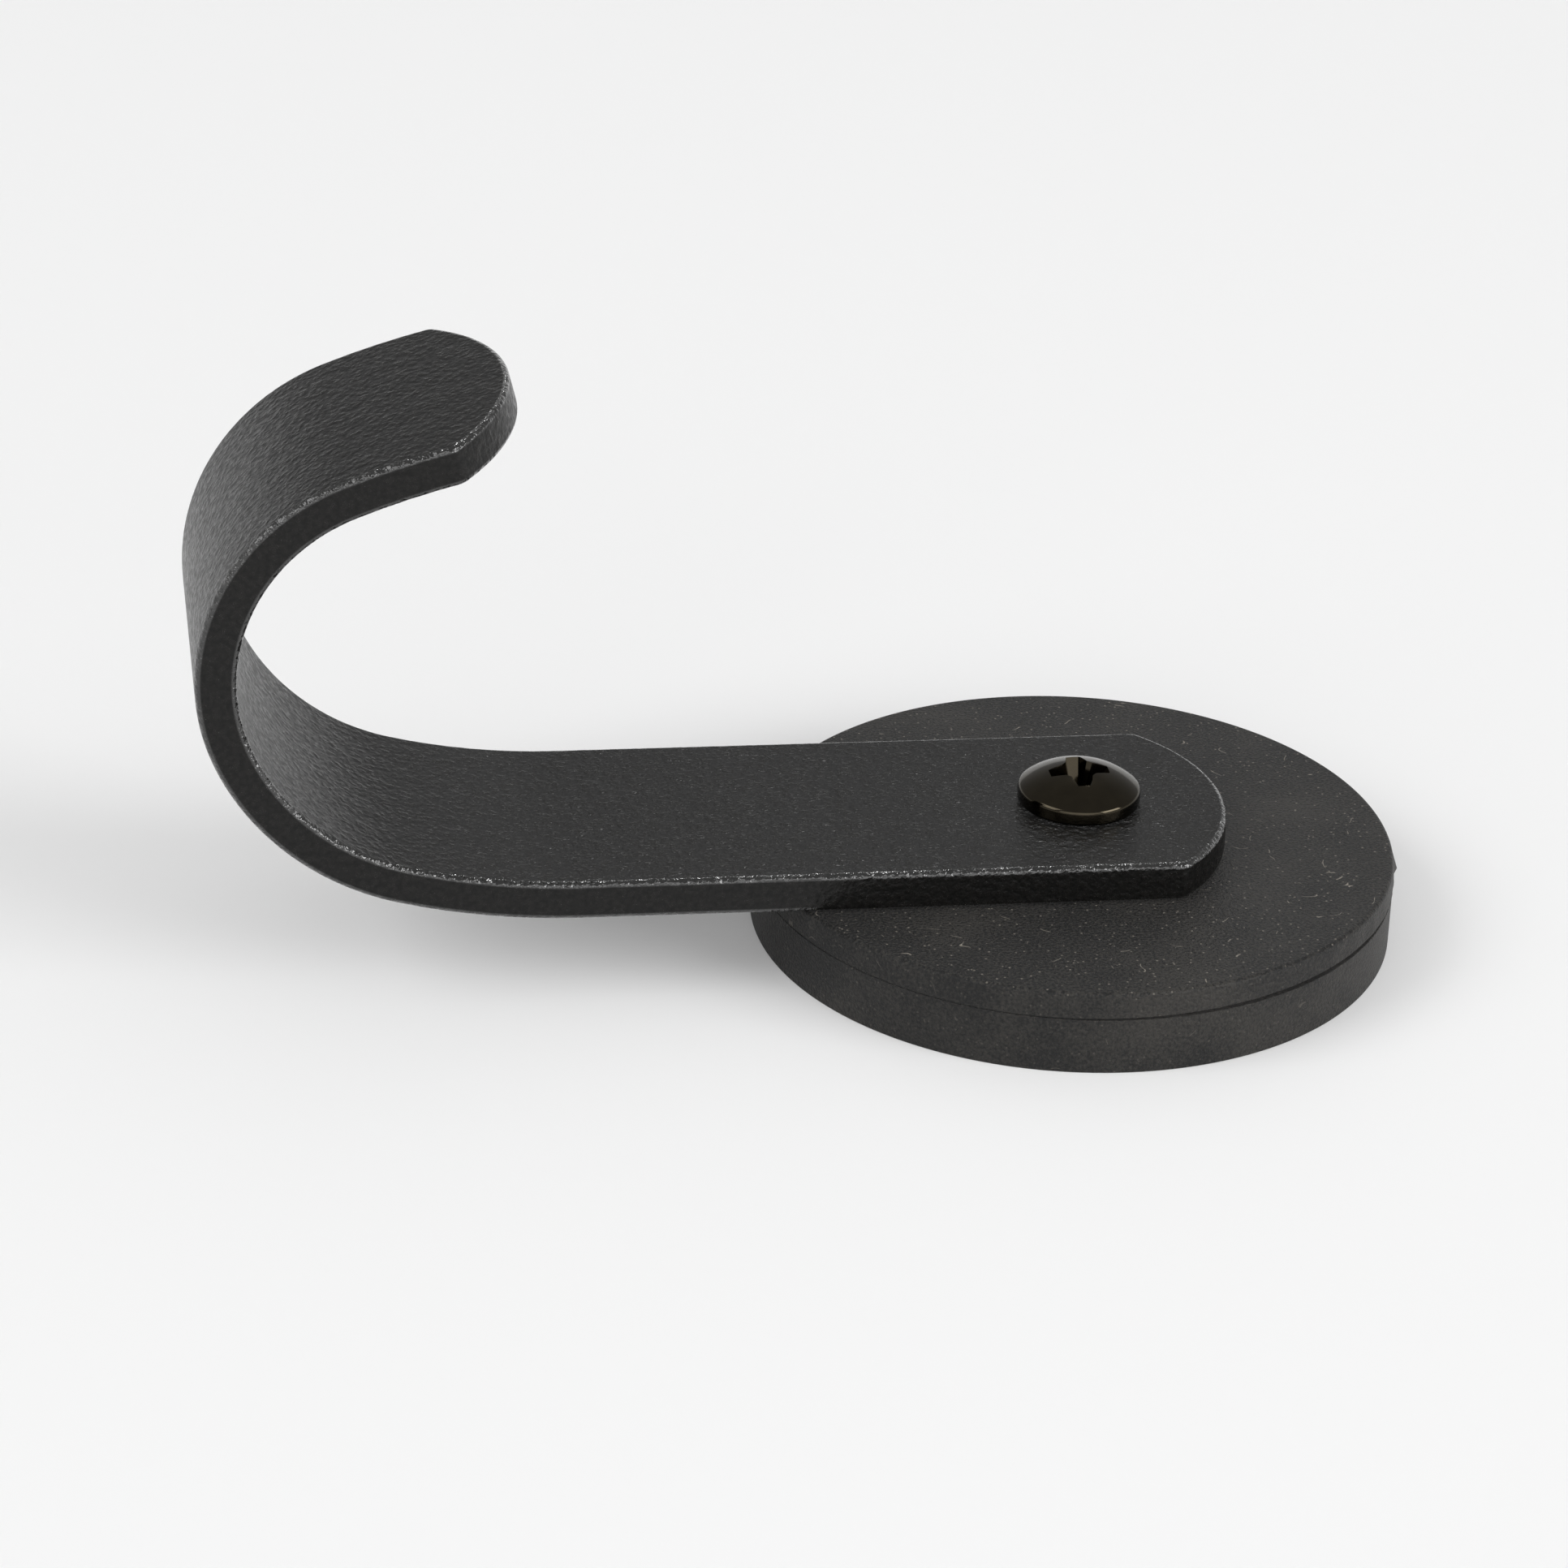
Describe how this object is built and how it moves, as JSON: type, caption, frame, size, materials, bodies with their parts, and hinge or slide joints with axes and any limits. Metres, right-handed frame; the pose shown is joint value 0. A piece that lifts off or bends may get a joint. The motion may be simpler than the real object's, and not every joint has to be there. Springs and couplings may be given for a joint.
{
  "type": "magnetic hook",
  "caption": "Rubber-coated disc magnet with a flat steel strip hook screwed to its middle, free to swivel over the disc.",
  "frame": {"origin": "middle of the magnet's flat holding face, on the screw's axis", "axes": "+Z out of the magnet's back along the screw's axis, -Z out of the holding face, -X from the screw along the strip to the hook, +Y across the strip"},
  "size_m": [0.0802, 0.043, 0.0404],
  "materials": {
    "powder_coat": "satin fine-texture black powder coat",
    "black_nickel": "gloss black nickel plate",
    "rubber": "matte moulded black rubber",
    "zinc_plate": "satin zinc plated steel",
    "nickel_plate": "satin nickel plated magnet"
  },
  "bodies": {
    "magnet_base": {"rubber_cup": "rubber", "rubber_cover": "rubber", "back_plate": "zinc_plate", "threaded_bush": "zinc_plate", "clamp_screw": "black_nickel", "magnet_1": "nickel_plate", "magnet_2": "nickel_plate", "magnet_3": "nickel_plate", "magnet_4": "nickel_plate", "magnet_5": "nickel_plate", "magnet_6": "nickel_plate", "magnet_7": "nickel_plate", "magnet_8": "nickel_plate"},
    "hook": {"hook_strip": "powder_coat"}
  },
  "joints": [
    {"name": "hook_swivel", "type": "hinge", "parent": "magnet_base", "child": "hook", "pos_m": [0, 0, 0.0073], "axis": [0, 0, 1], "continuous": true}
  ]
}
